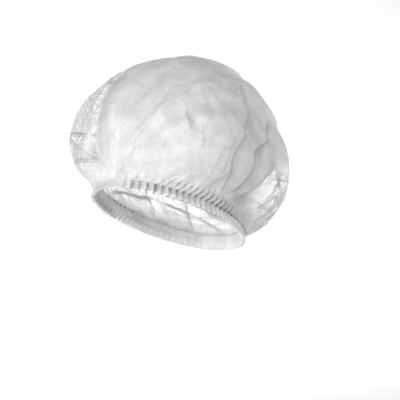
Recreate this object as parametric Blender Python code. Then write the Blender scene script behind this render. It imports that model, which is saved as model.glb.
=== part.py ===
"""Clip cap: a strip of non-woven cloth, pleated, gathered on a ring of elastic and puffed out as on a head.

Metres, +Z up, the way it is worn: the front is at -Y and the wearer's left at +X. The origin is the middle of the
head opening. The opening is high at the forehead and low at the nape.
"""

import math

import bpy
import numpy as np

# Head opening: the ring of elastic is an ellipse in a tilted plane.
OPENING_HALF_WIDTH = 0.0745
OPENING_HALF_LENGTH = 0.117
OPENING_TILT = math.radians(30.5)
ELASTIC_DIAMETER = 0.0024

# Cloth and the channel that its turned-in edge makes round the elastic.
CLOTH_WALL = 0.001
CHANNEL_CLEARANCE = 0.0003
FRILL_DEPTH = 0.008
FRILL_FLARE = 0.002
TURN_BACK_HEIGHT = 0.005

# Crown: how far it stands out past the elastic, how high its widest line is above it, and its top.
SIDE_PUFF = 0.041
BACK_PUFF = 0.058
SIDE_RISE = 0.076
CROWN_HEIGHT = 0.182
CROWN_TOP_BACK = 0.033

# Gathers along the elastic, the long folds above them, and the pleats from the front knot to the nape knot.
GATHER_PITCH = 0.011
GATHER_DEPTH = 0.002
GATHER_HEIGHT = 0.021
FOLD_DEPTH = 0.006
FOLD_WIDTH = 0.011
FOLD_LENGTH = 0.095
PLEAT_DEPTH = 0.005
PLEAT_WIDTH = 0.013
DENT_DEPTH = 0.005
DENT_BREADTH = 0.040
KNOT_BREADTH = 0.011
KNOT_DEPTH = 0.003

# Roundness of the wall below and above its widest line: 1 is a quarter of an ellipse.
LOWER_ROUNDNESS = (0.90, 1.06)
UPPER_ROUNDNESS = (0.82, 1.17)

# The crown's widest line, from the front to the nape: the angle in degrees, then shares of SIDE_PUFF, BACK_PUFF
# and SIDE_RISE. Both sides are alike.
PUFF_ROWS = (
    # angle, side, back, rise
    (0, 0.00, -0.12, 0.36),
    (45, 0.87, 0.07, 0.69),
    (90, 1.00, 0.51, 1.00),
    (135, 1.08, 0.77, 0.95),
    (180, 0.00, 1.00, 0.39),
)

# The turned-in edge, from the inner end of the turn-back round the frill to the pinched line over the elastic:
# sideways as shares of half the channel, of half the frill's thickness and of FRILL_FLARE, downwards as shares of
# TURN_BACK_HEIGHT and of FRILL_DEPTH, and the share of the gathers' depth.
HEM_ROWS = (
    # channel, frill, flare, up, down, gather
    (-1.0, 0.0, 0.0, 1.00, 0.00, 0.00),
    (-1.0, 0.0, 0.0, 0.00, 0.10, 0.00),
    (0.0, -1.0, 0.5, 0.00, 0.60, 0.65),
    (0.0, -0.8, 1.0, 0.00, 1.00, 1.00),
    (0.0, 0.8, 1.0, 0.00, 1.00, 1.00),
    (0.0, 1.0, 0.5, 0.00, 0.60, 0.65),
    (1.0, 0.0, 0.0, 0.00, 0.00, 0.00),
)

# Rows of the crown above the elastic: first at shares of GATHER_HEIGHT, with the share of the gathers' depth, and
# then at shares of what is left up to the top.
GATHER_ROWS = (
    # height, gather
    (0.22, 0.80),
    (0.50, 1.30),
    (0.80, 0.70),
    (1.20, 0.25),
)
CROWN_ROWS = (0.06, 0.12, 0.19, 0.27, 0.36, 0.45, 0.55, 0.66, 0.78, 0.90)

# How full the gathers are round the edge, from the front to the nape: the frill is rolled in behind the ears.
FULLNESS_ROWS = (
    # angle, frill, above
    (0, 0.6, 0.7),
    (45, 1.0, 1.0),
    (90, 1.0, 1.0),
    (120, 0.2, 0.7),
    (180, 0.2, 0.6),
)

# Long folds that rise from the gathers: the angle of the foot in degrees, the turn in degrees on the way up, and
# shares of FOLD_WIDTH, FOLD_LENGTH and FOLD_DEPTH. A negative depth is a ridge.
FOLD_ROWS = (
    # foot, turn, width, length, depth
    (34, 8, 0.8, 0.50, 0.40),
    (52, 12, 1.0, 0.70, 0.60),
    (68, 16, 0.9, 1.00, 0.90),
    (82, 14, 1.1, 0.85, -0.70),
    (95, 14, 1.0, 1.00, 1.00),
    (109, 12, 1.1, 0.90, -0.80),
    (122, 10, 1.0, 1.00, 1.00),
    (138, 6, 1.1, 0.80, -0.70),
    (152, 4, 1.0, 0.85, 0.90),
    (168, 0, 1.0, 0.70, 0.60),
    (186, 2, 1.0, 0.75, 0.70),
    (203, -6, 1.2, 0.80, -0.70),
    (219, -6, 1.0, 0.90, 0.90),
    (236, -10, 1.1, 1.00, -0.80),
    (250, -14, 1.0, 0.90, 0.90),
    (266, -12, 1.0, 0.90, -0.60),
    (281, -10, 1.1, 0.85, 0.90),
    (301, -6, 1.0, 0.60, 0.60),
    (322, -6, 0.8, 0.60, 0.50),
)

# Pleats along the head: the angle in degrees round the line from knot to knot, up being 0 and the wearer's left
# positive, and shares of PLEAT_WIDTH and PLEAT_DEPTH.
PLEAT_ROWS = (
    # angle, width, depth
    (-66, 1.0, 0.7),
    (-47, 1.1, 0.9),
    (-30, 0.9, -0.6),
    (-15, 1.0, 0.9),
    (4, 1.4, -0.3),
    (21, 1.0, 0.9),
    (38, 1.2, 0.8),
    (57, 1.0, -0.6),
)

# Soft dents of the crown: the angle in degrees, the share of the way up, and shares of DENT_BREADTH and DENT_DEPTH.
DENT_ROWS = (
    # angle, height, breadth, depth
    (28, 0.45, 0.9, 0.6),
    (62, 0.58, 1.1, 0.8),
    (104, 0.62, 1.2, 0.7),
    (150, 0.55, 1.2, 1.0),
    (205, 0.66, 1.1, 0.8),
    (258, 0.50, 1.2, 1.0),
    (305, 0.60, 1.2, 0.9),
    (338, 0.72, 1.0, 0.6),
)

CLOTH_COLOUR = (0.88, 0.88, 0.89, 1.0)
ELASTIC_COLOUR = (0.80, 0.80, 0.78, 1.0)
ELASTIC_SIDES = 6
STEPS_UP = 60
STEPS_ROUND = 720
LEVEL = np.array((1.0, 1.0, 0.0))
UPRIGHT = np.array((0.0, 0.0, 1.0))
DOWN = np.array((0.0, -math.sin(OPENING_TILT), -math.cos(OPENING_TILT)))


def clear_scene():
    for thing in list(bpy.data.objects):
        bpy.data.objects.remove(thing, do_unlink=True)


def material(name, colour, roughness):
    made = bpy.data.materials.new(name)
    made.use_nodes = True
    shader = made.node_tree.nodes["Principled BSDF"]
    shader.inputs["Base Color"].default_value = colour
    shader.inputs["Roughness"].default_value = roughness
    shader.inputs["Metallic"].default_value = 0.0
    return made


def column(rows, number):
    return np.array([row[number] for row in rows], float)


def hump(distance):
    """1 at 0, falling smoothly to 0 at a distance of 1 either way."""
    return np.clip(1.0 - distance**2, 0.0, None) ** 2


def turned(angle, centre):
    """How far an angle is past another, in degrees from -180 to 180."""
    return (angle - centre + 180.0) % 360.0 - 180.0


def on_elastic(angle, out=0.0, down=0.0):
    """Points beside the elastic's middle line: out in the opening's plane, square to the line, and down its axis."""
    across = np.array((1.0, 0.0, 0.0))
    along = np.array((0.0, math.cos(OPENING_TILT), -math.sin(OPENING_TILT)))
    angle, out, down = np.broadcast_arrays(angle, out, down)
    place = np.stack((OPENING_HALF_WIDTH * np.sin(angle), -OPENING_HALF_LENGTH * np.cos(angle)), -1)
    normal = np.stack((OPENING_HALF_LENGTH * np.sin(angle), -OPENING_HALF_WIDTH * np.cos(angle)), -1)
    normal /= np.linalg.norm(normal, axis=-1, keepdims=True)
    place = place + out[..., None] * normal
    return place[..., :1] * across + place[..., 1:] * along + down[..., None] * DOWN


def gather_angles():
    """Two columns for each gather, one on its ridge and one in its groove, evenly spaced along the elastic."""
    angle = np.linspace(0.0, 2.0 * math.pi, STEPS_ROUND + 1)
    steps = np.linalg.norm(np.diff(on_elastic(angle), axis=0), axis=1)
    length = np.concatenate(((0.0,), np.cumsum(steps)))
    gathers = round(length[-1] / GATHER_PITCH)
    return np.interp(np.arange(2 * gathers) / (2 * gathers), length / length[-1], angle)


def round_the_puff(angle, number):
    """A smooth closed curve through one column of PUFF_ROWS: a sine series for the sides, cosines for the others."""
    knots = np.radians(column(PUFF_ROWS, 0))
    shares = column(PUFF_ROWS, number)
    if number == 1:
        order = np.arange(1, 4)
        weights = np.linalg.solve(np.sin(np.outer(knots[1:-1], order)), shares[1:-1])
        return np.sin(np.multiply.outer(angle, order)) @ weights
    order = np.arange(5)
    weights = np.linalg.solve(np.cos(np.outer(knots, order)), shares)
    return np.cos(np.multiply.outer(angle, order)) @ weights


def channel_half():
    return ELASTIC_DIAMETER / 2 + CHANNEL_CLEARANCE + CLOTH_WALL


def frill_half():
    """Half the frill's thickness: two walls that stay apart on the steepest side of a gather."""
    slope = math.atan2(4.0 * GATHER_DEPTH, GATHER_PITCH)
    return (CLOTH_WALL + CHANNEL_CLEARANCE) / math.cos(slope)


def crown_lines(angle):
    """Lines up the smooth crown, one for each angle, from the pinched line over the elastic to the top.

    The wall goes out and up from the elastic to the widest line, and then in and up to the top. Each stretch is
    close to a quarter of an ellipse.
    """
    rim = on_elastic(angle, channel_half())
    puff = np.stack(
        (
            SIDE_PUFF * round_the_puff(angle, 1),
            BACK_PUFF * round_the_puff(angle, 2),
            SIDE_RISE * round_the_puff(angle, 3),
        ),
        -1,
    )
    widest = rim + puff
    top = np.array((0.0, CROWN_TOP_BACK, CROWN_HEIGHT))
    turn = np.linspace(0.0, math.pi / 2, STEPS_UP)[:, None, None]
    sideways, upwards = LOWER_ROUNDNESS
    lower = np.sin(turn) ** sideways * LEVEL + (1 - np.cos(turn) ** upwards) * UPRIGHT
    sideways, upwards = UPPER_ROUNDNESS
    upper = (1 - np.cos(turn) ** sideways) * LEVEL + np.sin(turn) ** upwards * UPRIGHT
    return np.concatenate((rim + puff * lower, (widest + (top - widest) * upper)[1:]))


def spaced(lines, angle):
    """The rows of the crown: points of each line at set distances from the elastic, with how far up they are."""
    steps = np.linalg.norm(np.diff(lines, axis=0), axis=2)
    length = np.concatenate((np.zeros((1, len(angle))), np.cumsum(steps, axis=0)))
    low = GATHER_HEIGHT * column(GATHER_ROWS, 0)[:, None] + 0 * angle
    rest = low[-1] + (length[-1] - low[-1]) * np.array(CROWN_ROWS)[:, None]
    height = np.concatenate((low, rest))
    places = [
        np.stack([np.interp(height[:, i], length[:, i], lines[:, i, axis]) for axis in range(3)], -1)
        for i in range(len(angle))
    ]
    return np.stack(places, 1), height, length[-1]


def pleats(points):
    """Grooves along the head. Their angle is measured round the line that joins the front and nape knots."""
    across = points[..., 0]
    over = points[..., 2] + points[..., 1] * math.tan(OPENING_TILT)
    from_line = np.hypot(across, over)
    angle = np.degrees(np.arctan2(across, over))
    depth = np.zeros(across.shape)
    for centre, width, share in PLEAT_ROWS:
        away = np.radians(angle - centre) * from_line
        depth += share * PLEAT_DEPTH * hump(away / (width * PLEAT_WIDTH))
    return depth * np.clip(from_line / OPENING_HALF_WIDTH - 0.35, 0.0, 1.0)


def folds(angle, height, around):
    """Long folds that rise from the gathers. Each drifts round the head and dies away towards its upper end."""
    degrees = np.degrees(angle)
    depth = np.zeros(height.shape)
    for foot, turn, width, length, share in FOLD_ROWS:
        risen = height / (length * FOLD_LENGTH)
        away = np.radians(turned(degrees, foot + turn * risen)) * around
        rise = np.clip(risen, 0.0, 1.0)
        swell = np.sin(math.pi * np.sqrt(rise)) * (1.0 - rise) ** 0.5
        depth += share * FOLD_DEPTH * hump(away / (width * FOLD_WIDTH)) * swell
    return depth


def dents(angle, height, whole, around):
    """Broad soft hollows."""
    degrees = np.degrees(angle)
    depth = np.zeros(height.shape)
    for centre, up, breadth, share in DENT_ROWS:
        aside = np.radians(turned(degrees, centre)) * around
        above = height - up * whole
        depth += share * DENT_DEPTH * hump(np.hypot(aside, above) / (breadth * DENT_BREADTH))
    return depth


def knots(angle, height):
    """The two pinched places at the front and the nape, just above the elastic, where all the pleats meet."""
    depth = np.zeros(height.shape)
    for centre in (0.0, 180.0):
        aside = np.radians(turned(np.degrees(angle), centre)) * OPENING_HALF_WIDTH
        depth += KNOT_DEPTH * hump(np.hypot(aside, height - KNOT_BREADTH / 2) / KNOT_BREADTH)
    return depth


def fullness(angle, number):
    turn = np.abs(turned(np.degrees(angle), 0.0))
    return np.interp(turn, column(FULLNESS_ROWS, 0), column(FULLNESS_ROWS, number))


def hem(angle, zigzag):
    """The turned-in edge and the frill, as rows of points."""
    rows = []
    for channel, frill, flare, up, down, gather in HEM_ROWS:
        out = channel * channel_half() + frill * frill_half() + flare * FRILL_FLARE
        out = out + gather * GATHER_DEPTH * zigzag * fullness(angle, 1)
        rows.append(on_elastic(angle, out, down * FRILL_DEPTH - up * TURN_BACK_HEIGHT + 0 * angle))
    return np.stack(rows)


def outward(points):
    """Unit normals of a grid of rows and closed columns."""
    along = np.gradient(points, axis=0)
    around = np.roll(points, -1, axis=1) - np.roll(points, 1, axis=1)
    normal = np.cross(around, along)
    return normal / np.linalg.norm(normal, axis=-1, keepdims=True)


def cloth_grid():
    """Rows of points of the cloth's outer face, from the inner end of the turn-back to just below the top."""
    angle = gather_angles()
    zigzag = np.where(np.arange(len(angle)) % 2 == 0, 1.0, -1.0)
    edge = hem(angle, zigzag)
    lines = crown_lines(angle)
    points, height, whole = spaced(lines, angle)
    normal = outward(np.concatenate((edge[-1:], points)))[1:]
    around = np.hypot(points[..., 0], points[..., 1] - CROWN_TOP_BACK)
    inward = pleats(points) + folds(angle, height, around)
    inward += dents(angle, height, whole, around) + knots(angle, height)
    gather = np.zeros(height.shape)
    gather[: len(GATHER_ROWS)] = column(GATHER_ROWS, 1)[:, None] * zigzag * fullness(angle, 2) * GATHER_DEPTH
    settle = np.clip(height / GATHER_HEIGHT, 0.0, 1.0)
    points = points + normal * (gather - inward * settle)[..., None]
    top = np.array((0.0, CROWN_TOP_BACK, CROWN_HEIGHT))
    top[2] -= float(pleats(top[None])[0])
    return np.concatenate((edge, points)), top


def build_crown():
    """The cloth: its outer face as a grid closed at the top, given a wall on the inside."""
    grid, top = cloth_grid()
    rows, columns = grid.shape[:2]
    vertices = np.concatenate((grid.reshape(-1, 3), top[None]))
    index = np.arange(rows * columns).reshape(rows, columns)
    after = np.roll(index, -1, axis=1)
    faces = np.stack((index[:-1], after[:-1], after[1:], index[1:]), -1).reshape(-1, 4).tolist()
    faces += [(a, b, rows * columns) for a, b in zip(index[-1].tolist(), after[-1].tolist())]
    mesh = bpy.data.meshes.new("crown")
    mesh.from_pydata(vertices.tolist(), [], faces)
    mesh.materials.append(material("nonwoven_cloth", CLOTH_COLOUR, 0.85))
    mesh.shade_smooth()
    cloth = bpy.data.objects.new("crown", mesh)
    bpy.context.collection.objects.link(cloth)
    wall = cloth.modifiers.new("wall", "SOLIDIFY")
    wall.thickness = CLOTH_WALL
    wall.offset = -1.0
    wall.use_even_offset = True


def build_elastic():
    """A closed ring of round elastic in the channel."""
    angle = gather_angles()
    turn = 2.0 * math.pi * (np.arange(ELASTIC_SIDES) + 0.5) / ELASTIC_SIDES
    radius = ELASTIC_DIAMETER / 2
    grid = np.stack([on_elastic(angle, radius * math.cos(t), radius * math.sin(t) + 0 * angle) for t in turn])
    rows, columns = grid.shape[:2]
    index = np.arange(rows * columns).reshape(rows, columns)
    after = np.roll(index, -1, axis=1)
    above = np.roll(index, -1, axis=0)
    faces = np.stack((index, above, np.roll(above, -1, axis=1), after), -1).reshape(-1, 4)
    mesh = bpy.data.meshes.new("elastic_band")
    mesh.from_pydata(grid.reshape(-1, 3).tolist(), [], faces.tolist())
    mesh.materials.append(material("elastic", ELASTIC_COLOUR, 0.6))
    mesh.shade_smooth()
    bpy.context.collection.objects.link(bpy.data.objects.new("elastic_band", mesh))


clear_scene()
build_crown()
build_elastic()
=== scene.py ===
"""Clip cap of pleated non-woven cloth, gathered on a ring of elastic and puffed out as when it is worn."""

import math

import bpy
import numpy as np
from mathutils import Matrix, Vector


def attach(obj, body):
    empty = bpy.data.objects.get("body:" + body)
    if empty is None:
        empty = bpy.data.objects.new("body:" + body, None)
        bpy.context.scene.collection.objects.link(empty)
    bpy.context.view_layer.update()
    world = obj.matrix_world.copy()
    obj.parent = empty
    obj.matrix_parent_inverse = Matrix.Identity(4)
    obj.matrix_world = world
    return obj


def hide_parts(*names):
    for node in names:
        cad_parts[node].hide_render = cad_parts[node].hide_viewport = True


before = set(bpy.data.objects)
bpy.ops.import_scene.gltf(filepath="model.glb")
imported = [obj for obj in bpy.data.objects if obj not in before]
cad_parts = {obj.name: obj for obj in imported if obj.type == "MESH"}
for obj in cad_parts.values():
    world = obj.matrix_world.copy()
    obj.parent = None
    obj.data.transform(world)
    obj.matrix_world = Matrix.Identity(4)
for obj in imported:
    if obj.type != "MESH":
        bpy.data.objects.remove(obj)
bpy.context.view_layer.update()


# Camera: a long lens, turned 33 degrees from the front to the cap's left side as worn and raised a little above the
# elastic, with a slight roll.
VIEW_AZIMUTH = math.radians(33.0)
VIEW_ELEVATION = math.radians(10.5)
VIEW_ROLL = math.radians(-6.0)
VIEW_DISTANCE = 2.2
VIEW_WIDTH = 0.484
AIM_RIGHT = 0.0346
AIM_UP = 0.0139
SENSOR = 36.0


def view_axes():
    """Unit vectors to the picture's right and top, and from the cap back to the camera."""
    back = Vector(
        (
            math.sin(VIEW_AZIMUTH) * math.cos(VIEW_ELEVATION),
            -math.cos(VIEW_AZIMUTH) * math.cos(VIEW_ELEVATION),
            math.sin(VIEW_ELEVATION),
        )
    )
    level = Vector((math.cos(VIEW_AZIMUTH), math.sin(VIEW_AZIMUTH), 0.0))
    raised = back.cross(level)
    right = level * math.cos(VIEW_ROLL) + raised * math.sin(VIEW_ROLL)
    top = raised * math.cos(VIEW_ROLL) - level * math.sin(VIEW_ROLL)
    return right, top, back


def place_camera():
    right, top, back = view_axes()
    eye = back * VIEW_DISTANCE
    aim = right * AIM_RIGHT + top * AIM_UP
    behind = (eye - aim).normalized()
    across = top.cross(behind).normalized()
    turn = Matrix((across, behind.cross(across), behind)).transposed()
    camera = bpy.data.objects.new("camera", bpy.data.cameras.new("camera"))
    bpy.context.collection.objects.link(camera)
    camera.matrix_world = Matrix.Translation(eye) @ turn.to_4x4()
    camera.data.sensor_width = SENSOR
    camera.data.lens = SENSOR * VIEW_DISTANCE / VIEW_WIDTH
    bpy.context.scene.camera = camera


place_camera()


# The cloth: one strip of spunbond polypropylene, 12 to 14 g for each square metre, cut 0.45 x 0.53 m. It is pleated
# lengthwise, its long edges are turned in and welded over the elastic, and its two ends are gathered and welded into
# small knots at the front and the nape.
OPENING_HALF_WIDTH = 0.0745
OPENING_HALF_LENGTH = 0.117
OPENING_TILT = math.radians(30.5)
CHANNEL_HALF = 0.0025
FRILL_DEPTH = 0.0115
FRILL_FLARE = 0.004
TURN_BACK_HEIGHT = 0.005
SIDE_PUFF = 0.041
BACK_PUFF = 0.058
SIDE_RISE = 0.076
CROWN_HEIGHT = 0.182
CROWN_TOP_BACK = 0.033
LOWER_ROUNDNESS = (0.90, 1.06)
SIDE_TUCK = 4.3
SIDE_TUCK_ANGLE = 85.0
SIDE_TUCK_BREADTH = 85.0
UPPER_ROUNDNESS = (0.82, 1.17)
GATHERS = 72
GATHER_DEPTH = 0.0034
GATHER_CREST = 0.80
GATHER_LEAN = 0.0012
GATHER_SWEEP = 85.0
GATHER_HEIGHT = 0.014
FOLD_DEPTH = 0.006
FOLD_WIDTH = 0.011
FOLD_LENGTH = 0.095
PLEAT_DEPTH = 0.005
PLEAT_WIDTH = 0.013
DENT_DEPTH = 0.005
DENT_BREADTH = 0.040
KNOT_BREADTH = 0.011
KNOT_DEPTH = 0.004
KNOT_TUFT = 0.0055
KNOT_TUFT_ANGLE = 0.0
KNOT_TUFT_HALF_WIDTH = 0.0045
KNOT_TUFT_HEIGHT = 0.010
SEED = 7

# angle, then shares of SIDE_PUFF, BACK_PUFF and SIDE_RISE
PUFF_ROWS = (
    (0, 0.00, -0.12, 0.36),
    (45, 0.87, 0.07, 0.69),
    (90, 1.00, 0.51, 1.00),
    (135, 1.08, 0.77, 0.95),
    (180, 0.00, 1.00, 0.39),
)
# foot angle, turn on the way up, then shares of FOLD_WIDTH, FOLD_LENGTH and FOLD_DEPTH
FOLD_ROWS = (
    (34, 8, 0.8, 0.50, 0.15),
    (52, 12, 1.0, 0.70, 0.40),
    (68, 16, 0.9, 1.00, 0.90),
    (82, 14, 1.1, 0.85, -0.70),
    (95, 14, 1.0, 1.00, 1.00),
    (109, 12, 1.1, 0.90, -0.80),
    (122, 10, 1.0, 1.00, 1.00),
    (138, 6, 1.1, 0.80, -0.70),
    (152, 4, 1.0, 0.85, 0.90),
    (168, 0, 1.0, 0.70, 0.60),
    (186, 2, 1.0, 0.75, 0.70),
    (203, -6, 1.2, 0.80, -0.35),
    (219, -6, 1.0, 0.90, 0.45),
    (236, -10, 1.1, 1.00, -0.40),
    (250, -14, 1.0, 0.90, 0.45),
    (266, -12, 1.0, 0.90, -0.30),
    (281, -10, 1.1, 0.85, 0.45),
    (301, -6, 1.0, 0.60, 0.30),
    (322, -6, 0.8, 0.60, 0.50),
)
# angle round the line from knot to knot, then shares of PLEAT_WIDTH and PLEAT_DEPTH
PLEAT_ROWS = (
    (-66, 1.0, 0.2),
    (-47, 1.1, 0.2),
    (-30, 0.9, -0.1),
    (-15, 1.0, 0.3),
    (4, 1.4, -0.2),
    (21, 1.0, 0.4),
    (38, 1.2, 0.3),
    (57, 1.0, -0.2),
)
# angle, share of the way up, then shares of DENT_BREADTH and DENT_DEPTH
DENT_ROWS = (
    (43, 0.41, 0.25, 0.5),
    (28, 0.27, 0.28, 0.35),
    (62, 0.58, 1.2, 0.3),
    (104, 0.62, 1.2, 0.1),
    (150, 0.55, 1.2, 0.3),
    (205, 0.66, 1.1, 0.8),
    (258, 0.50, 1.2, 0.4),
    (305, 0.60, 1.2, 0.5),
    (338, 0.72, 1.0, 0.2),
)
# Sharp edges of folds that lie over the next: width and strength of the shade behind the edge, then its angle at
# each share of the way up
EDGE_LINES = (
    (0.009, 0.55, ((0.41, 5), (0.49, 10), (0.54, 14), (0.61, 20))),
    (0.020, 0.22, ((0.29, 1), (0.44, 5), (0.59, 13), (0.78, 29))),
    (0.010, 0.35, ((0.21, 25), (0.27, 28), (0.34, 31))),
    (0.018, 0.60, ((0.32, 42), (0.43, 40), (0.52, 41))),
    (0.009, 0.45, ((0.24, 49), (0.31, 48), (0.40, 49))),
    (0.007, 0.40, ((0.40, 55), (0.50, 57), (0.60, 54))),
    (0.007, 0.35, ((0.42, 63), (0.52, 66), (0.62, 62))),
    (0.010, 0.55, ((0.17, 65), (0.30, 65), (0.39, 70))),
    (0.012, 0.22, ((0.14, 51), (0.22, 47), (0.30, 48))),
    (0.018, 0.25, ((0.44, 72), (0.56, 76), (0.68, 84), (0.80, 100))),
    (0.014, 0.20, ((0.46, 54), (0.58, 56), (0.70, 60))),
    (0.012, 0.35, ((0.06, 60), (0.17, 58), (0.27, 60), (0.33, 63))),
    (0.014, 0.80, ((0.06, 77), (0.15, 74), (0.23, 67), (0.31, 69), (0.38, 76), (0.53, 86), (0.63, 91), (0.73, 105))),
    (0.013, 1.00, ((0.07, 82), (0.14, 83), (0.28, 83), (0.33, 86), (0.41, 97), (0.54, 107))),
    (0.009, 0.90, ((0.07, 97), (0.13, 99), (0.30, 100), (0.36, 99))),
    (0.008, 0.80, ((0.05, 115), (0.17, 114), (0.27, 112), (0.35, 112))),
    (0.009, 0.60, ((0.04, 131), (0.15, 133), (0.30, 130))),
    (0.010, 0.80, ((0.06, 152), (0.20, 150), (0.45, 146))),
    (0.010, 0.70, ((0.06, 176), (0.25, 175), (0.40, 178))),
    (0.010, 0.80, ((0.06, 203), (0.20, 206), (0.45, 212))),
    (0.010, 0.70, ((0.06, 232), (0.25, 229), (0.50, 224))),
    (0.010, 0.80, ((0.06, 258), (0.22, 262), (0.40, 258))),
    (0.009, 0.50, ((0.08, 286), (0.20, 282), (0.35, 285))),
    (0.009, 0.55, ((0.00, 4), (0.06, 3), (0.16, 5))),
    (0.020, 0.60, ((0.08, 352), (0.20, 351), (0.33, 349), (0.46, 344), (0.58, 340), (0.75, 326))),
    (0.003, 0.45, ((0.12, 9), (0.27, 13), (0.34, 18), (0.50, 26), (0.65, 37))),
)
EDGE_STEP = 0.0020
# The turned-in edge: shares of CHANNEL_HALF, FRILL_FLARE and FRILL_GAP outwards, of TURN_BACK_HEIGHT up and of
# FRILL_DEPTH down, then the share of the gathers' depth, which also sets their painted shade on the outer rows
HEM_ROWS = (
    (-1.00, 0.0, 0.0, 1.00, 0.00, 0.05),
    (-1.05, 0.0, 0.0, 0.55, 0.00, 0.05),
    (-1.00, 0.0, 0.0, 0.10, 0.00, 0.10),
    (-0.70, 0.0, 0.0, 0.00, 0.16, 0.20),
    (-0.20, 0.2, -1.0, 0.00, 0.34, 0.45),
    (0.00, 0.5, -1.0, 0.00, 0.55, 0.75),
    (0.00, 0.8, -1.0, 0.00, 0.78, 1.00),
    (0.00, 1.0, -0.9, 0.00, 0.94, 1.10),
    (0.00, 1.0, 0.0, 0.00, 1.00, 1.15),
    (0.00, 1.0, 0.9, 0.00, 0.94, 1.10),
    (0.00, 0.8, 1.0, 0.00, 0.78, 1.00),
    (0.00, 0.5, 1.0, 0.00, 0.55, 0.85),
    (0.30, 0.2, 1.0, 0.00, 0.34, 0.60),
    (0.80, 0.0, 0.5, 0.00, 0.14, 0.45),
)
FRILL_GAP = 0.0005
# angle from the front, then how full the gathers are in the frill and above the elastic, and how fat the frill's roll
FULLNESS_ROWS = (
    (0, 0.30, 0.15, 1.0),
    (12, 0.80, 0.20, 1.0),
    (28, 1.00, 0.40, 1.0),
    (38, 1.00, 1.00, 1.0),
    (84, 1.00, 1.00, 1.5),
    (97, 0.30, 1.00, 6.0),
    (110, 0.15, 0.60, 6.0),
    (180, 0.15, 0.45, 4.0),
)
# height above the elastic, then the gathers' share of their depth
GATHER_RISE = (
    (0.000, 0.70),
    (0.002, 1.10),
    (0.005, 1.40),
    (0.008, 1.25),
    (0.011, 0.60),
    (0.016, 0.00),
)
# angle from the front, then the cloth's spare length round the crown and up it, and how far in and out it may move
SLACK_ROWS = (
    (0, 0.012, 0.006, 0.0015, 0.0010),
    (25, 0.012, 0.008, 0.0018, 0.0012),
    (45, 0.018, 0.010, 0.0025, 0.0015),
    (60, 0.060, 0.020, 0.0050, 0.0020),
    (80, 0.150, 0.045, 0.0090, 0.0030),
    (110, 0.200, 0.060, 0.0100, 0.0030),
    (180, 0.220, 0.060, 0.0100, 0.0030),
)
# share of the way up, then the share of the spare length
SLACK_UP = (
    (0.00, 0.80),
    (0.15, 1.00),
    (0.33, 0.70),
    (0.48, 0.22),
    (0.60, 0.06),
    (1.00, 0.02),
)
# steps and bending stiffness of the coarse, middle and fine grids
GRID_ROWS = (
    (800, 0.020),
    (350, 0.020),
    (200, 0.015),
)
STEP_SHARE = 0.42
FOLD_WAVES = 26
HEM_SLACK = 0.24
HEM_REACH = 0.012
FIRM_HEIGHT = 0.030
FINE_WRINKLE = 0.0003
DOWN = np.array((0.0, -math.sin(OPENING_TILT), -math.cos(OPENING_TILT)))
LEVEL = np.array((1.0, 1.0, 0.0))
UPRIGHT = np.array((0.0, 0.0, 1.0))
TOP = np.array((0.0, CROWN_TOP_BACK, CROWN_HEIGHT))


def column(rows, number):
    return np.array([row[number] for row in rows], float)


def hump(distance):
    """1 at 0, falling smoothly to 0 at a distance of 1 either way."""
    return np.clip(1.0 - distance**2, 0.0, None) ** 2


def turned(angle, centre):
    """How far an angle is past another, in degrees from -180 to 180."""
    return (angle - centre + 180.0) % 360.0 - 180.0


def from_front(angle, rows, number):
    """A value that runs with the angle from the front, alike on both sides."""
    return np.interp(np.abs(turned(np.degrees(angle), 0.0)), column(rows, 0), column(rows, number))


def on_elastic(angle, out=0.0, down=0.0):
    """Points beside the elastic's middle line: out in the opening's plane, square to the line, and down its axis."""
    across = np.array((1.0, 0.0, 0.0))
    along = np.array((0.0, math.cos(OPENING_TILT), -math.sin(OPENING_TILT)))
    angle, out, down = np.broadcast_arrays(angle, out, down)
    place = np.stack((OPENING_HALF_WIDTH * np.sin(angle), -OPENING_HALF_LENGTH * np.cos(angle)), -1)
    normal = np.stack((OPENING_HALF_LENGTH * np.sin(angle), -OPENING_HALF_WIDTH * np.cos(angle)), -1)
    normal /= np.linalg.norm(normal, axis=-1, keepdims=True)
    place = place + out[..., None] * normal
    return place[..., :1] * across + place[..., 1:] * along + down[..., None] * DOWN


def even_angles(count):
    """Angles of points evenly spaced along the elastic, from the front round by the left side as worn."""
    angle = np.linspace(0.0, 2.0 * math.pi, 2001)
    steps = np.linalg.norm(np.diff(on_elastic(angle), axis=0), axis=1)
    length = np.concatenate(((0.0,), np.cumsum(steps)))
    return np.interp(np.arange(count) / count, length / length[-1], angle)


def round_the_puff(angle, number):
    """A smooth closed curve through one column of PUFF_ROWS: a sine series for the sides, cosines for the others."""
    knots = np.radians(column(PUFF_ROWS, 0))
    shares = column(PUFF_ROWS, number)
    if number == 1:
        order = np.arange(1, 4)
        weights = np.linalg.solve(np.sin(np.outer(knots[1:-1], order)), shares[1:-1])
        return np.sin(np.multiply.outer(angle, order)) @ weights
    order = np.arange(5)
    weights = np.linalg.solve(np.cos(np.outer(knots, order)), shares)
    return np.cos(np.multiply.outer(angle, order)) @ weights


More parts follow.
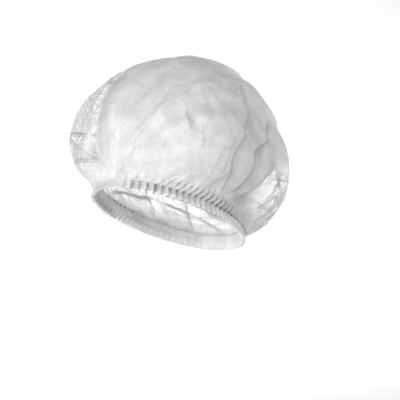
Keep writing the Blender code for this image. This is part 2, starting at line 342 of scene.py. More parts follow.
def crown_lines(angle):
    """Lines up the smooth crown: out and up from the elastic to the widest line, then in and up to the top."""
    rim = on_elastic(angle, CHANNEL_HALF)
    puff = np.stack(
        (
            SIDE_PUFF * round_the_puff(angle, 1),
            BACK_PUFF * round_the_puff(angle, 2),
            SIDE_RISE * round_the_puff(angle, 3),
        ),
        -1,
    )
    turn = np.linspace(0.0, math.pi / 2, 80)[:, None, None]
    sideways, upwards = LOWER_ROUNDNESS
    tuck = SIDE_TUCK * hump((np.abs(turned(np.degrees(angle), 0.0)) - SIDE_TUCK_ANGLE) / SIDE_TUCK_BREADTH)
    sideways = sideways + tuck[:, None] * np.clip(1.0 - turn * 2.0 / math.pi, 0.0, 1.0) ** 1.8
    lower = rim + puff * (np.sin(turn) ** sideways * LEVEL + (1 - np.cos(turn) ** upwards) * UPRIGHT)
    sideways, upwards = UPPER_ROUNDNESS
    widest = rim + puff
    upper = widest + (TOP - widest) * ((1 - np.cos(turn) ** sideways) * LEVEL + np.sin(turn) ** upwards * UPRIGHT)
    return np.concatenate((lower, upper[1:]))


def smooth_crown(columns, rows):
    """A grid of points on the smooth crown, from the elastic to just below the top, and their heights above the
    elastic along the cloth. Rows lie closer together near the elastic."""
    angle = even_angles(columns)
    lines = crown_lines(angle)
    steps = np.linalg.norm(np.diff(lines, axis=0), axis=2)
    length = np.concatenate((np.zeros((1, columns)), np.cumsum(steps, axis=0)))
    share = 0.985 * np.linspace(0.0, 1.0, rows) ** 1.2
    height = share[:, None] * length[-1]
    points = np.empty((rows, columns, 3))
    for number in range(columns):
        for axis in range(3):
            points[:, number, axis] = np.interp(height[:, number], length[:, number], lines[:, number, axis])
    return points, height, angle


def outward(points):
    """Unit normals of a grid of rows and closed columns."""
    along = np.gradient(points, axis=0)
    around = np.roll(points, -1, axis=1) - np.roll(points, 1, axis=1)
    normal = np.cross(around, along)
    return normal / np.linalg.norm(normal, axis=-1, keepdims=True)


def round_knots(points):
    """The distance of each point from the line that joins the front and nape knots, and its angle round that line
    in degrees, up being 0."""
    across = points[..., 0]
    over = points[..., 2] + points[..., 1] * math.tan(OPENING_TILT)
    return np.hypot(across, over), np.degrees(np.arctan2(across, over))


def broad_hollows(points, height, angle):
    """How far the worn crown lies inside the smooth one: pleats from knot to knot, soft dents and the two knots."""
    degrees = np.degrees(angle)
    around = np.hypot(points[..., 0], points[..., 1] - CROWN_TOP_BACK)
    from_line, turn = round_knots(points)
    depth = np.zeros(height.shape)
    for centre, width, share in PLEAT_ROWS:
        away = np.radians(turn - centre) * from_line
        depth += share * PLEAT_DEPTH * hump(away / (width * PLEAT_WIDTH))
    depth *= np.clip(from_line / OPENING_HALF_WIDTH - 0.35, 0.0, 1.0)
    for centre, up, breadth, share in DENT_ROWS:
        aside = np.radians(turned(degrees, centre)) * around
        above = height - up * height[-1]
        depth += share * DENT_DEPTH * hump(np.hypot(aside, above) / (breadth * DENT_BREADTH))
    for centre in (0.0, 180.0):
        aside = np.radians(turned(degrees, centre)) * OPENING_HALF_WIDTH
        depth += KNOT_DEPTH * hump(np.hypot(aside, height - KNOT_BREADTH / 2) / KNOT_BREADTH)
    return depth * np.clip(height / GATHER_HEIGHT, 0.0, 1.0)


def long_folds(points, height, angle):
    """Depth of the folds that rise from the gathers. Each drifts round the crown and dies away upwards."""
    degrees = np.degrees(angle)
    around = np.hypot(points[..., 0], points[..., 1] - CROWN_TOP_BACK)
    depth = np.zeros(height.shape)
    for foot, turn, width, length, share in FOLD_ROWS:
        risen = height / (length * FOLD_LENGTH)
        away = np.radians(turned(degrees, foot + turn * risen)) * around
        swell = np.sin(math.pi * np.sqrt(np.clip(risen, 0.0, 1.0)))
        depth += share * FOLD_DEPTH * hump(away / (width * FOLD_WIDTH)) * swell
    return depth


def line_angle(line, share):
    """The angle of a line at each share of the way up: straight runs between its rows, rounded off where they meet."""
    even = np.linspace(0.0, 1.0, 201)
    soft = np.hanning(25)
    rounded = np.pad(np.interp(even, column(line, 0), column(line, 1)), 12, mode="edge")
    return np.interp(share, even, np.convolve(rounded, soft / soft.sum(), "valid"))


def fold_edges(points, height, angle):
    """1 just behind each sharp fold edge, falling to 0 over the width of its shade and before the edge."""
    around = np.hypot(points[..., 0], points[..., 1] - CROWN_TOP_BACK)
    share = height / height[-1]
    shade = np.zeros(height.shape)
    for width, strength, line in EDGE_LINES:
        low, high = line[0][0], line[-1][0]
        past = np.radians(turned(np.degrees(angle), line_angle(line, share))) * around
        ends = np.clip((share - low) / 0.04, 0.0, 1.0) * np.clip((high - share) / 0.08, 0.0, 1.0)
        fall = np.clip(1.0 - past / width, 0.0, 1.0) ** 1.5 * (past >= 0.0)
        shade = np.maximum(shade, strength * ends * fall)
    return shade


def gather_shape(columns, angle, sizes, height=0.0, crest=GATHER_CREST):
    """Outward and sideways moves of the gathers, and a mask of painted shade: a saw-tooth round each row, rising slowly
    from the front to a crest and falling steeply behind it, with the crests leaning over their steep backs like knife
    pleats. The painted shade lies on each steep back and on the foot of the next rise, reaching further up it towards
    the sides. Higher up the saw-tooth has swept back towards the nape. Each gather has its own size."""
    turn = (np.arange(columns) * GATHERS / columns - GATHER_SWEEP * np.sin(angle) * height) % GATHERS
    back = np.where(np.sin(angle) < 0.0, 1.0 - turn % 1.0, turn % 1.0)
    tooth = np.interp(back, (0.0, crest, 1.0), (-1.0, 1.0, -1.0))
    size = np.interp(turn, np.arange(GATHERS + 1), np.append(sizes, sizes[0]))
    # painted shade: on the steep back of each gather and on the foot of the next rise, further up it towards the sides
    foot = np.clip((0.15 + 0.45 * np.sin(angle) ** 2 - back) / 0.2, 0.0, 1.0)
    drop = np.maximum(np.clip((back - crest) / (0.4 - 0.4 * crest), 0.0, 1.0), foot) * size
    return GATHER_DEPTH * size * tooth, GATHER_LEAN * size * np.sin(angle) * tooth, drop


def spans(points, up, sideways):
    """Distances from each point to the one so many rows up and columns round."""
    other = np.roll(points, -sideways, axis=1)
    return np.linalg.norm(other[up:] - points[: len(points) - up], axis=-1)


def pull(points, rest, up, sideways, share):
    """Moves that take each pair of points, so many rows and columns apart, towards its length in the flat cloth."""
    rows = len(points) - up
    gap = np.roll(points, -sideways, axis=1)[up:] - points[:rows]
    length = np.linalg.norm(gap, axis=-1)
    move = gap * (share * (1.0 - rest / np.maximum(length, 1e-9)))[..., None]
    total = np.zeros_like(points)
    total[:rows] += move
    total[up:] -= np.roll(move, sideways, axis=1)
    return total


def bending(offset):
    """Fourth differences of the offset round the grid and up it: what the cloth's stiffness works against."""

    def second(grid, axis):
        ends = [(0, 0)] * 3
        ends[axis] = (1, 1)
        full = np.pad(grid, ends, mode="wrap" if axis == 1 else "edge")
        return full.take(range(2, full.shape[axis]), axis) - 2.0 * grid + full.take(range(full.shape[axis] - 2), axis)

    return second(second(offset, 1), 1) + second(second(offset, 0), 0)


def doubled(grid):
    """Twice the columns and rows, with new points on cubic curves through the old ones."""

    def between(a, b, c, d):
        return (9.0 * (b + c) - a - d) / 16.0

    middle = between(np.roll(grid, 1, 1), grid, np.roll(grid, -1, 1), np.roll(grid, -2, 1))
    wide = np.stack((grid, middle), 2).reshape(len(grid), -1, 3)
    more = np.concatenate((2 * wide[:1] - wide[1:2], wide, 2 * wide[-1:] - wide[-2:-1]))
    tall = np.empty((2 * len(wide) - 1,) + wide.shape[1:])
    tall[0::2] = wide
    tall[1::2] = between(more[:-3], more[1:-2], more[2:-1], more[3:])
    return tall


def smooth_noise(rng, shape, round_waves, up_waves):
    """Seeded noise of unit spread with no detail finer than so many waves round the grid and up it."""
    wave = np.fft.rfft2(rng.standard_normal(shape))
    up = np.fft.fftfreq(shape[0], 1.0 / shape[0])[:, None]
    sideways = np.arange(wave.shape[1])
    made = np.fft.irfft2(wave * np.exp(-((up / up_waves) ** 2) - (sideways / round_waves) ** 2), s=shape)
    return made / made.std()


def settled_cloth():
    """The cloth's grid once its spare length has buckled into folds, with the smooth grid, heights, angles, the
    gathers' sizes and their painted shade.

    The flat cloth is longer, round the crown and up it, than the smooth crown. On a coarse grid and then on two
    finer ones, every pair of neighbours is moved again and again towards its length in the flat cloth, bending
    stiffness smooths the offsets, and no point may leave the layer between the inner and outer limits.
    """
    rng = np.random.default_rng(SEED)
    sizes = rng.uniform(0.75, 1.2, GATHERS)
    offset = None
    for level, (steps, stiffness) in enumerate(GRID_ROWS):
        columns = 2 * GATHERS * 2**level
        smooth, height, angle = smooth_crown(columns, 28 * 2**level + 1)
        smooth = smooth - broad_hollows(smooth, height, angle)[..., None] * outward(smooth)
        normal = outward(smooth)
        sideways = np.cross(normal, DOWN)
        share = height / height[-1]
        slack = from_front(angle, SLACK_ROWS, 1) * np.interp(share, column(SLACK_UP, 0), column(SLACK_UP, 1))
        slack += HEM_SLACK * np.exp(-height / HEM_REACH) * from_front(angle, FULLNESS_ROWS, 2)
        rest_round = spans(smooth, 0, 1) * (1.0 + slack)
        rise = np.clip(height / GATHER_HEIGHT, 0.0, 1.0)
        rest_up = spans(smooth, 1, 0) * (1.0 + from_front(angle, SLACK_ROWS, 2) * rise)[1:]
        rest_slant = np.hypot(rest_round[1:], rest_up)
        inner = from_front(angle, SLACK_ROWS, 3) * np.clip(1.35 - share, 0.35, 1.0) * np.clip(height / 0.012, 0.12, 1.0)
        outer = from_front(angle, SLACK_ROWS, 4) * np.clip(height / 0.012, 0.2, 1.0)
        out, aside, _ = gather_shape(columns, angle, sizes, crest=0.5)
        lift = np.interp(height, column(GATHER_RISE, 0), column(GATHER_RISE, 1)) * from_front(angle, FULLNESS_ROWS, 2)
        gathers = (out * lift)[..., None] * normal + (aside * lift)[..., None] * sideways
        held = np.clip((1.1 * GATHER_HEIGHT - height) / (0.5 * GATHER_HEIGHT), 0.0, 1.0)[..., None]
        loose = np.clip((1.0 - share) / 0.12, 0.0, 1.0)[..., None] * (1.0 - held)
        firm = stiffness * (np.clip(height / FIRM_HEIGHT, 0.1, 1.0) + 1.5 * share)[..., None]
        if offset is None:
            start = 0.0012 * rise * smooth_noise(rng, height.shape, 30, 5) - long_folds(smooth, height, angle)
            offset = gathers + start[..., None] * normal
        else:
            wrinkle = FINE_WRINKLE * smooth_noise(rng, height.shape, 60 * 2**level, 12 * 2**level)
            offset = held * gathers + (1.0 - held) * (doubled(offset) + wrinkle[..., None] * normal)
        for _ in range(steps):
            points = smooth + offset
            move = pull(points, rest_round, 0, 1, 0.5) + pull(points, rest_up, 1, 0, 0.5)
            move += pull(points, rest_slant, 1, 1, 0.2) + pull(points, rest_slant, 1, -1, 0.2)
            move -= firm * bending(offset)
            offset = 0.999 * (offset + STEP_SHARE * loose * move) + 0.001 * held * gathers
            out_now = (offset * normal).sum(-1)
            offset += (np.clip(out_now, -inner, outer) - out_now)[..., None] * normal
    # the same once more with ten columns to a gather, so that the gathers' folds are sharp
    columns = 10 * GATHERS
    wave = np.fft.rfft(offset, axis=1) * columns / offset.shape[1]
    offset = np.fft.irfft(wave, n=columns, axis=1)
    broad = np.fft.irfft(wave * np.exp(-((np.arange(len(wave[0])) / FOLD_WAVES) ** 4))[:, None], n=columns, axis=1)
    smooth, height, angle = smooth_crown(columns, len(offset))
    fine = np.clip(1.6 - height / GATHER_HEIGHT, 0.0, 1.0)[..., None]
    calm = np.interp(height / height[-1], (0.35, 0.60), (1.0, 0.5)) * np.interp(angle, (0.3, 2.8, 3.5, 5.8), (1.0, 1.0, 0.35, 0.35))
    offset = fine * offset + (1.0 - fine) * calm[..., None] * broad
    smooth = smooth - broad_hollows(smooth, height, angle)[..., None] * outward(smooth)
    normal = outward(smooth)
    out, aside, drop = gather_shape(columns, angle, sizes, height)
    gathered = np.interp(height, column(GATHER_RISE, 0), column(GATHER_RISE, 1))
    gathered = gathered * from_front(angle, FULLNESS_ROWS, 2)
    gathers = (out * gathered)[..., None] * normal + (aside * gathered)[..., None] * np.cross(normal, DOWN)
    held = np.clip((1.1 * GATHER_HEIGHT - height) / (0.5 * GATHER_HEIGHT), 0.0, 1.0)[..., None]
    aside = np.radians(turned(np.degrees(angle), KNOT_TUFT_ANGLE)) * OPENING_HALF_WIDTH
    tuft = KNOT_TUFT * hump(aside / KNOT_TUFT_HALF_WIDTH) * hump(height / KNOT_TUFT_HEIGHT - 1.0)
    lift = tuft - EDGE_STEP * fold_edges(smooth, height, angle)
    offset = held * gathers + (1.0 - held) * offset + lift[..., None] * normal
    return smooth + offset, smooth, height, angle, sizes, np.clip(drop * gathered, 0.0, 1.0)


def hem_rows(angle, sizes):
    """Rows of the turned-in edge: down inside the channel, round the frill and back up to the elastic. Also the
    painted shade of the gathers on the frill's outer rows, fainter on the right side as worn."""
    out, aside, drop = gather_shape(len(angle), angle, sizes)
    full = from_front(angle, FULLNESS_ROWS, 1)
    roll = FRILL_GAP * from_front(angle, FULLNESS_ROWS, 3)
    tangent = np.roll(on_elastic(angle), -1, axis=0) - np.roll(on_elastic(angle), 1, axis=0)
    tangent /= np.linalg.norm(tangent, axis=-1, keepdims=True)
    rows = []
    for channel, flare, gap, up, down, gather in HEM_ROWS:
        off = channel * CHANNEL_HALF + flare * FRILL_FLARE + gap * roll + gather * full * out
        rows.append(on_elastic(angle, off, down * FRILL_DEPTH - up * TURN_BACK_HEIGHT))
        rows[-1] = rows[-1] + (gather * full * aside)[:, None] * tangent
    # painted shade of the gathers, fainter on the right side as worn and kept to the frill's outer rows
    shade = drop * full * np.interp(np.sin(angle), (-1.0, 1.0), (0.4, 1.0))
    outside = column(HEM_ROWS, 5) * (column(HEM_ROWS, 2) > 0.0)
    return np.stack(rows), np.clip(outside[:, None] * shade, 0.0, 1.0)


def linear(code):
    """A colour written as six hexadecimal digits of sRGB, as linear light."""
    value = np.array([int(code[i : i + 2], 16) / 255.0 for i in (0, 2, 4)])
    value = np.where(value <= 0.04045, value / 12.92, ((value + 0.055) / 1.055) ** 2.4)
    return (*value.tolist(), 1.0)


def new_material(name):
    made = bpy.data.materials.new(name)
    made.use_nodes = True
    made.node_tree.nodes.clear()
    return made


def add(tree, kind, inputs=None, **settings):
    """A node of a material with its settings, and its inputs linked or set by name or number."""
    node = tree.nodes.new("ShaderNode" + kind)
    for key, value in settings.items():
        setattr(node, key, value)
    for key, value in (inputs or {}).items():
        if isinstance(value, bpy.types.NodeSocket):
            tree.links.new(value, node.inputs[key])
        else:
            node.inputs[key].default_value = value
    return node


def grid_object(name, grid, top=None):
    """An object of a grid of points whose columns close on themselves, and whose last row may close on one point."""
    rows, columns = grid.shape[:2]
    vertices = grid.reshape(-1, 3)
    index = np.arange(rows * columns).reshape(rows, columns)
    after = np.roll(index, -1, axis=1)
    faces = np.stack((index[:-1], after[:-1], after[1:], index[1:]), -1).reshape(-1, 4).tolist()
    if top is not None:
        vertices = np.concatenate((vertices, top[None]))
        faces += [(a, b, rows * columns) for a, b in zip(index[-1].tolist(), after[-1].tolist())]
    mesh = bpy.data.meshes.new(name)
    mesh.from_pydata(vertices.tolist(), [], faces)
    mesh.shade_smooth()
    made = bpy.data.objects.new(name, mesh)
    bpy.context.collection.objects.link(made)
    return made


def point_values(thing, name, values):
    thing.data.attributes.new(name, "FLOAT", "POINT").data.foreach_set("value", np.ravel(values).astype(np.float32))


# How close the cloth lies: stretched over the middle its pleats are shut and it is two or three layers deep. In the
# wing at the right side and in the lobe behind the left side it stands clear in a single layer, and narrow gaps open
# between the folds of the lobe.
# share of the way up, then the angle where the wing starts
WING_ROWS = (
    (0.00, 353),
    (0.20, 351),
    (0.33, 349),
    (0.46, 344),
    (0.58, 340),
    (0.75, 326),
    (0.90, 290),
)
WING_OVER = 0.004
# angle, share of the way up to its top, then how clear the cloth stands there
LOBE_ROWS = (
    (96, 0.28, 0.0),
    (104, 0.32, 0.4),
    (111, 0.36, 1.0),
    (118, 0.38, 1.0),
    (180, 0.42, 0.9),
    (230, 0.80, 0.9),
    (240, 0.90, 1.0),
)
# width of a gap, then its angle at each share of the way up
GAP_LINES = (
    (0.0090, ((0.13, 102), (0.20, 103), (0.26, 104), (0.35, 104))),
    (0.0040, ((0.08, 112), (0.14, 111), (0.22, 109))),
    (0.0070, ((0.10, 121), (0.18, 119), (0.30, 118))),
    (0.0060, ((0.06, 138), (0.15, 137), (0.28, 133))),
)
FAN_REACH = 0.07
# angle from the front, then how strong the painted shade in the valley above the elastic is
VALLEY_SHADE_HEIGHT = 0.004
VALLEY_SHADE_ROWS = (
    (0, 0.1),
    (70, 0.4),
    (84, 1.0),
    (180, 1.0),
)


def single_layer(points, angle, height):
    """0 where the cloth lies close in several layers, 1 where it stands clear in one."""
    degrees = np.degrees(angle)
    share = height / height[-1]
    around = np.hypot(points[..., 0], points[..., 1] - CROWN_TOP_BACK)
    inside = np.radians(line_angle(WING_ROWS, share) - degrees) * around
    wing = np.clip(inside / WING_OVER, 0.0, 1.0) * np.clip((degrees - 190.0) / 50.0, 0.0, 1.0)
    top = np.interp(degrees, column(LOBE_ROWS, 0), column(LOBE_ROWS, 1))
    lobe = np.interp(degrees, column(LOBE_ROWS, 0), column(LOBE_ROWS, 2)) * np.clip((top - share) / 0.08, 0.0, 1.0)
    clear = np.maximum(wing, lobe * (degrees < 240.0))
    return clear * np.interp(share, (0.05, 0.14, 0.75, 0.92), (0.0, 1.0, 1.0, 0.4))


def open_gaps(points, height, angle):
    """1 along the middle of each narrow gap between folds, 0 from its sides on and at its pointed ends."""
    around = np.hypot(points[..., 0], points[..., 1] - CROWN_TOP_BACK)
    share = height / height[-1]
    gap = np.zeros(height.shape)
    for width, line in GAP_LINES:
        low, high = line[0][0], line[-1][0]
        aside = np.radians(turned(np.degrees(angle), line_angle(line, share))) * around
        swell = np.sin(math.pi * np.clip((share - low) / (high - low), 0.0, 1.0))
        gap = np.maximum(gap, np.clip(1.6 * (swell - np.abs(aside) * 2.0 / width), 0.0, 1.0))
    return gap


def build_cloth():
    crown, smooth, height, angle, sizes, drops = settled_cloth()
    edge, edge_drops = hem_rows(angle, sizes)
    grid = np.concatenate((edge, crown))
    cloth = grid_object("cap_cloth", grid, TOP - (0.0, 0.0, 0.001))
    from_knot = np.linalg.norm(smooth - on_elastic(np.zeros(1)), axis=-1)
    fan = np.clip(1.0 - from_knot / FAN_REACH, 0.0, 1.0) * np.clip((from_knot - 0.012) / 0.012, 0.0, 1.0)
    none = np.zeros(edge.shape[:2])
    # painted shade in the valley just above the elastic
    valley_shade = np.clip(1.0 - height / VALLEY_SHADE_HEIGHT, 0.0, 1.0) * from_front(angle, VALLEY_SHADE_ROWS, 1)
    for name, values in (
        ("single_layer", single_layer(smooth, angle, height)),
        # painted shade behind sharp fold edges, in the gathers and in the valley above the elastic
        ("fold_shade", np.maximum(np.maximum(fold_edges(smooth, height, angle), drops), valley_shade)),
        ("gap", open_gaps(smooth, height, angle)),
        # grain and painted shade over the left side as worn
        ("left_side_grain_and_shade", hump((np.degrees(angle) - 88.0) / 42.0) * np.clip(height / 0.02, 0.0, 1.0)),
        ("fanned", fan),
        ("pleat_angle", round_knots(smooth)[1]),
    ):
        hem = edge_drops if name == "fold_shade" else none
        point_values(cloth, name, np.append(np.concatenate((hem, values)), values[-1].mean()))
    cloth.data.materials.append(cloth_material())
    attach(cloth, "root")
    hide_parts("crown")


def cloth_material():
    """Spunbond polypropylene: matt white and fibrous, letting some light through, clearer where it is a single layer,
    with fine sharp creases that run from knot to knot and cross one another where the cloth stands clear. Its colour
    carries painted shade along the creases, behind sharp folds, in the gathers and over the left side as worn."""
    made = new_material("spunbond_polypropylene")
    tree = made.node_tree

    def value(name):
        return add(tree, "Attribute", attribute_name=name).outputs["Fac"]

    def sum_of(a, b, c=0.0, kind="MULTIPLY_ADD"):
        return add(tree, "Math", {0: a, 1: b, 2: c}, operation=kind).outputs[0]

    def ramp(source, low, high, start=0.0, end=1.0):
        inputs = {"Value": source, "From Min": low, "From Max": high, "To Min": start, "To Max": end}
        return add(tree, "MapRange", inputs).outputs[0]

    def noise(scale, detail=2.0, rough=0.5):
        return add(tree, "TexNoise", {"Vector": place, "Scale": scale, "Detail": detail, "Roughness": rough})

    place = add(tree, "TexCoord").outputs["Object"]
    clear = value("single_layer")
    shade = value("fold_shade")
    # long fibres: noise drawn out in three crossing directions
    fibre = None
    for turn in ((0.4, 0.9, 0.2), (1.3, -0.4, 1.0), (-0.5, 0.2, 2.1)):
        laid = add(tree, "Mapping", {"Vector": place, "Rotation": turn, "Scale": (1.0, 0.12, 1.0)})
        drawn = add(tree, "TexNoise", {"Vector": laid.outputs[0], "Scale": 900.0, "Detail": 2.0, "Roughness": 0.6})
        fibre = drawn.outputs["Fac"] if fibre is None else sum_of(fibre, drawn.outputs["Fac"], kind="MAXIMUM")
    cloud = noise(55.0, 3.0, 0.5).outputs["Fac"]
    patch = noise(26.0, 2.0).outputs["Fac"]

    def line_waves(along, scale, thin, bend, detail=1.0):
        """A one-way noise along a value: its crossings of the middle as fine lines, and the side that it is on."""
        run = sum_of(along, scale, sum_of(patch, bend, kind="MULTIPLY"))
        wave = add(tree, "TexNoise", {"W": run, "Scale": 1.0, "Detail": detail}, noise_dimensions="1D").outputs["Fac"]
        near = sum_of(sum_of(wave, -0.5, kind="ADD"), 0.0, kind="ABSOLUTE")
        return ramp(near, 0.0, thin, 1.0, 0.0), sum_of(wave, 0.5, kind="GREATER_THAN")

    # creases that spread from the front knot
    fan, _ = line_waves(value("pleat_angle"), 0.15, 0.018, 2.5)
    arcs, _ = line_waves(value("pleat_angle"), 0.13, 0.010, 1.5)
    broken = ramp(noise(19.0, 3.0).outputs["Fac"], 0.38, 0.50, 0.35, 1.0)
    fan = sum_of(sum_of(fan, value("fanned"), kind="MULTIPLY"), sum_of(arcs, 0.28, kind="MULTIPLY"), kind="MAXIMUM")
    fan = sum_of(fan, broken, kind="MULTIPLY")
    # creases that run straight and cross, with the facets between them, where the cloth stands clear
    crossing, facet = 0.0, 1.0
    for number, way in enumerate(((0.2, 0.8, 0.6), (0.1, 0.9, -0.5), (0.5, 0.3, 1.0), (-0.4, 0.5, 0.3))):
        along = add(tree, "VectorMath", {0: place, 1: way}, operation="DOT_PRODUCT").outputs["Value"]
        lines, side = line_waves(sum_of(along, 1.0, 0.37 * number), 32.0, 0.012, 0.10, 3.0)
        crossing = sum_of(crossing, lines, kind="MAXIMUM")
        if number < 2:
            facet = sum_of(facet, side, kind="MULTIPLY")
        lines, _ = line_waves(sum_of(along, 1.0, 1.7 + 0.29 * number), 75.0, 0.014, 0.10)
        crossing = sum_of(crossing, sum_of(lines, 0.55, kind="MULTIPLY"), kind="MAXIMUM")
    crossing = sum_of(sum_of(crossing, broken, kind="MULTIPLY"), clear, kind="MULTIPLY")
    facet = sum_of(facet, clear, kind="MULTIPLY")
    crease = sum_of(sum_of(fan, 0.7, kind="MULTIPLY"), crossing, kind="MAXIMUM")
    # the share of the light that passes straight through
    thin = sum_of(clear, 0.86, 0.03)
    thin = sum_of(thin, ramp(fibre, 0.48, 0.72, 1.06, 0.72), kind="MULTIPLY")
    thin = sum_of(thin, sum_of(facet, -0.14, 1.0), kind="MULTIPLY")
    thin = sum_of(thin, sum_of(shade, -0.80, 1.0), kind="MULTIPLY")
    thin = sum_of(thin, sum_of(crease, -0.9, 1.0), kind="MULTIPLY")
    open_share = sum_of(thin, sum_of(value("gap"), 0.75, kind="MULTIPLY"), kind="MAXIMUM")
    # relief
    grain = sum_of(fibre, sum_of(value("left_side_grain_and_shade"), 0.60, 0.15), kind="MULTIPLY")
    relief = sum_of(crease, 0.35, sum_of(cloud, 0.30, grain))
    relief = sum_of(facet, 0.10, relief)
    bump = add(tree, "Bump", {"Height": relief, "Strength": 0.8, "Distance": 0.0012}).outputs[0]
    # painted shade: the creases darken the cloth's colour by up to 85 %
    light = sum_of(ramp(fibre, 0.48, 0.72, 0.70, 1.0), sum_of(crease, -0.85, 1.0), kind="MULTIPLY")
    # painted shade behind sharp fold edges, in the gathers and in the valley above the elastic
    light = sum_of(light, sum_of(shade, -0.75, 1.0), kind="MULTIPLY")
    # painted shade: the cloth over the left side as worn is up to 30 % darker
    light = sum_of(light, sum_of(value("left_side_grain_and_shade"), -0.30, 1.0), kind="MULTIPLY")
    speckle = ramp(noise(700.0, 1.0).outputs["Fac"], 0.35, 0.65, 0.36, 0.0)
    speckle = sum_of(speckle, sum_of(value("left_side_grain_and_shade"), 0.75, 0.25), kind="MULTIPLY")
    light = sum_of(light, sum_of(speckle, -1.0, 1.0), kind="MULTIPLY")
    light = sum_of(light, sum_of(facet, -0.12, 1.0), kind="MULTIPLY")
    light = sum_of(light, ramp(cloud, 0.36, 0.60, 0.72, 1.0), kind="MULTIPLY")
    streak = sum_of(value("pleat_angle"), 0.11, sum_of(patch, 1.6, kind="MULTIPLY"))
    streak = add(tree, "TexNoise", {"W": streak, "Scale": 1.0, "Detail": 3.0}, noise_dimensions="1D").outputs["Fac"]
    light = sum_of(light, ramp(streak, 0.40, 0.56, 0.84, 1.0), kind="MULTIPLY")
    tones = {"Factor": light, "A": linear("A4A4A6"), "B": linear("FCFCFC")}
    colour = add(tree, "Mix", tones, data_type="RGBA").outputs["Result"]
    # little light reaches the bottom of the gathers and the cloth right behind a sharp fold
    deep = {"Factor": ramp(shade, 0.60, 1.0, 0.0, 0.55), "A": colour, "B": linear("505052")}
    colour = add(tree, "Mix", deep, data_type="RGBA").outputs["Result"]
    surface = add(tree, "BsdfPrincipled", {"Base Color": colour, "Roughness": 0.62, "Normal": bump})
    through = add(tree, "BsdfTranslucent", {"Color": colour, "Normal": bump})
    sheet = add(tree, "MixShader", {0: 0.22, 1: surface.outputs[0], 2: through.outputs[0]})
    clear_part = add(tree, "BsdfTransparent", {"Color": (1.0, 1.0, 1.0, 1.0)})
    mixed = add(tree, "MixShader", {0: open_share, 1: sheet.outputs[0], 2: clear_part.outputs[0]})
    add(tree, "OutputMaterial", {"Surface": mixed.outputs[0]})
    return made


build_cloth()


# The elastic: a closed ring of covered rubber thread, 2.4 mm thick, loose in the channel of the turned-in edge.
def elastic_material():
    """Covered rubber thread: off-white, matt, ridged by its wrapping."""
    made = new_material("covered_rubber_thread")
    tree = made.node_tree
    place = add(tree, "TexCoord").outputs["Object"]
    wrap = add(tree, "TexWave", {"Vector": place, "Scale": 260.0, "Distortion": 2.0}, bands_direction="DIAGONAL")
    bump = add(tree, "Bump", {"Height": wrap.outputs["Fac"], "Strength": 0.4, "Distance": 0.0003}).outputs[0]
    surface = add(
        tree, "BsdfPrincipled", {"Base Color": linear("E9E7E0"), "Roughness": 0.6, "Normal": bump}
    )
    add(tree, "OutputMaterial", {"Surface": surface.outputs[0]})
    return made


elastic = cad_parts["elastic_band"]
elastic.data.materials.clear()
elastic.data.materials.append(elastic_material())


# The studio: a pale floor that sweeps up into a bright backdrop, well clear of the cap.
FLOOR_DROP = 0.55
SWEEP_REACH = 3.2
SWEEP_HALF = 4.0
SWEEP_RADIUS = 1.2
SWEEP_HEIGHT = 3.0


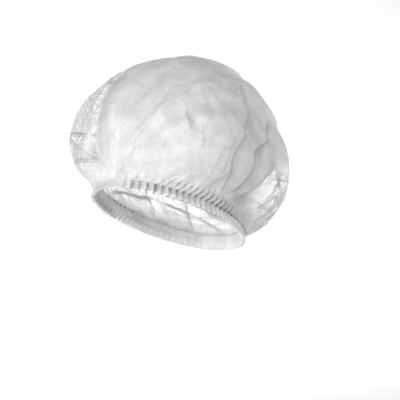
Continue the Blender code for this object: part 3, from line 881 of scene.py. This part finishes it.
def build_studio():
    """A profile along the floor, round a quarter circle and up the backdrop, drawn out sideways and turned to face
    the camera."""
    right, _, back = view_axes()
    away = -Vector((back.x, back.y, 0.0)).normalized()
    aside = Vector((-away.y, away.x, 0.0))
    turn = np.linspace(0.0, math.pi / 2, 24)
    along = np.concatenate(((-5.0,), SWEEP_REACH - SWEEP_RADIUS + SWEEP_RADIUS * np.sin(turn), (SWEEP_REACH,)))
    high = np.concatenate(((0.0,), SWEEP_RADIUS * (1 - np.cos(turn)), (SWEEP_HEIGHT,))) - FLOOR_DROP
    grid = [
        [tuple(away * a + aside * s + Vector((0.0, 0.0, h))) for a, h in zip(along.tolist(), high.tolist())]
        for s in (SWEEP_HALF, -SWEEP_HALF)
    ]
    count = len(along)
    faces = [(i, i + 1, count + i + 1, count + i) for i in range(count - 1)]
    mesh = bpy.data.meshes.new("studio_sweep")
    mesh.from_pydata(grid[0] + grid[1], [], faces)
    mesh.shade_smooth()
    sweep = bpy.data.objects.new("studio_sweep", mesh)
    bpy.context.collection.objects.link(sweep)
    made = new_material("pale_studio_card")
    tree = made.node_tree
    place = add(tree, "TexCoord").outputs["Object"]
    mottle = add(tree, "TexNoise", {"Vector": place, "Scale": 3.0}).outputs["Fac"]
    colour = add(tree, "Mix", {"Factor": mottle, "A": linear("F6F6F6"), "B": linear("FAFAFA")}, data_type="RGBA")
    surface = add(tree, "BsdfPrincipled", {"Base Color": colour.outputs["Result"], "Roughness": 0.9})
    add(tree, "OutputMaterial", {"Surface": surface.outputs[0]})
    mesh.materials.append(made)


def area_light(name, place, target, size, power, spread=180.0):
    light = bpy.data.objects.new(name, bpy.data.lights.new(name, "AREA"))
    light.data.spread = math.radians(spread)
    light.data.size = size
    light.data.energy = power
    place = Vector(place)
    turn = (place - Vector(target)).to_track_quat("Z", "Y").to_matrix().to_4x4()
    light.matrix_world = Matrix.Translation(place) @ turn
    bpy.context.collection.objects.link(light)


def in_view(right_share, top_share, back_share):
    right, top, back = view_axes()
    return right * right_share + top * top_share + back * back_share


build_studio()
area_light("key", in_view(-1.3, -0.6, 1.7), (0.0, 0.0, 0.04), 0.6, 26.0)
area_light("side", in_view(-2.0, -0.5, 0.7), (0.0, 0.0, 0.04), 0.9, 14.0)
area_light("high", in_view(0.9, 1.3, 1.4), (0.0, 0.0, 0.04), 0.9, 20.0)
area_light("right", in_view(2.0, 0.2, 0.6), (0.0, 0.0, 0.04), 0.9, 4.0)
area_light("backdrop_left", in_view(-1.3, 1.3, -0.4), in_view(-0.1, 0.0, -2.4), 0.5, 3.6, 70.0)
area_light("backdrop_right", in_view(1.3, 1.3, -0.4), in_view(0.1, 0.0, -2.4), 0.5, 6.0, 70.0)
area_light("floor_behind", in_view(0.0, 1.5, -0.7), in_view(0.0, -0.6, -1.2), 0.6, 2.2, 80.0)
world = bpy.data.worlds.new("studio_air")
world.use_nodes = True
world.node_tree.nodes["Background"].inputs["Color"].default_value = (1.0, 1.0, 1.0, 1.0)
world.node_tree.nodes["Background"].inputs["Strength"].default_value = 0.35
bpy.context.scene.world = world
bpy.context.scene.view_settings.view_transform = "Standard"
